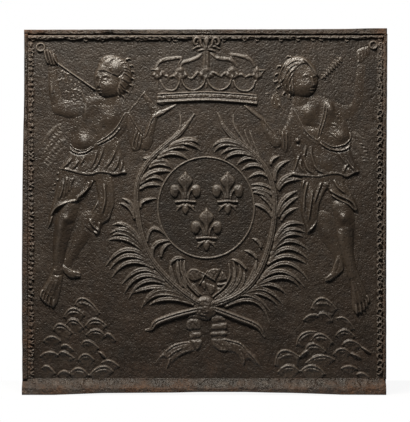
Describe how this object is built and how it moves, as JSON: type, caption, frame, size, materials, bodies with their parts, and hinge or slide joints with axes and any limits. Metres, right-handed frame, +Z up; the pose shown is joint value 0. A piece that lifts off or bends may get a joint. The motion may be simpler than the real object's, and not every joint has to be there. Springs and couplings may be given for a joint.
{
  "type": "fireback",
  "caption": "Square cast-iron fireback: thick plate with base ledge and leaf border, carved crown, lily medallion in palms, two trumpeters and clouds.",
  "frame": {"origin": "middle of the bottom edge that stands on the hearth, halfway through the depth", "axes": "+Z up the plate, +Y towards the wall behind it, the carved relief faces -Y, +X to the right seen from the front"},
  "size_m": [0.806, 0.038, 0.806],
  "materials": {
    "iron_plate": "dark brown-grey sand-cast iron, satin, finely pitted",
    "iron_relief": "dark brown-grey cast iron, satin, worn a little brighter on the high places",
    "iron_border": "dark cast iron with a brown film of rust"
  },
  "bodies": {
    "root": {"back_plate": "iron_plate", "left_band": "iron_border", "right_band": "iron_border", "top_band": "iron_border", "base_ledge": "iron_border", "left_frieze": "iron_border", "right_frieze": "iron_border", "top_frieze": "iron_border", "medallion_ring": "iron_relief", "left_lily": "iron_relief", "right_lily": "iron_relief", "lower_lily": "iron_relief", "crown_circlet": "iron_relief", "crown_flowers": "iron_relief", "crown_arches": "iron_relief", "crown_finial": "iron_relief", "left_palm_rib": "iron_relief", "left_palm_outer_leaves": "iron_relief", "left_palm_inner_leaves": "iron_relief", "right_palm_rib": "iron_relief", "right_palm_outer_leaves": "iron_relief", "right_palm_inner_leaves": "iron_relief", "left_palm_stalk": "iron_relief", "right_palm_stalk": "iron_relief", "ribbon_knot": "iron_relief", "ribbon_bow": "iron_relief", "left_ribbon_tail": "iron_relief", "right_ribbon_tail": "iron_relief", "left_head": "iron_relief", "left_hair": "iron_relief", "left_chest": "iron_relief", "left_tunic": "iron_relief", "left_skirt": "iron_relief", "left_front_leg": "iron_relief", "left_back_leg": "iron_relief", "left_crown_arm": "iron_relief", "left_trumpet_arm": "iron_relief", "left_trumpet": "iron_relief", "left_wing": "iron_relief", "right_head": "iron_relief", "right_hair": "iron_relief", "right_chest": "iron_relief", "right_tunic": "iron_relief", "right_skirt": "iron_relief", "right_front_leg": "iron_relief", "right_back_leg": "iron_relief", "right_crown_arm": "iron_relief", "right_trumpet_arm": "iron_relief", "right_trumpet": "iron_relief", "right_wing": "iron_relief", "left_clouds": "iron_relief", "right_clouds": "iron_relief"}
  },
  "joints": []
}
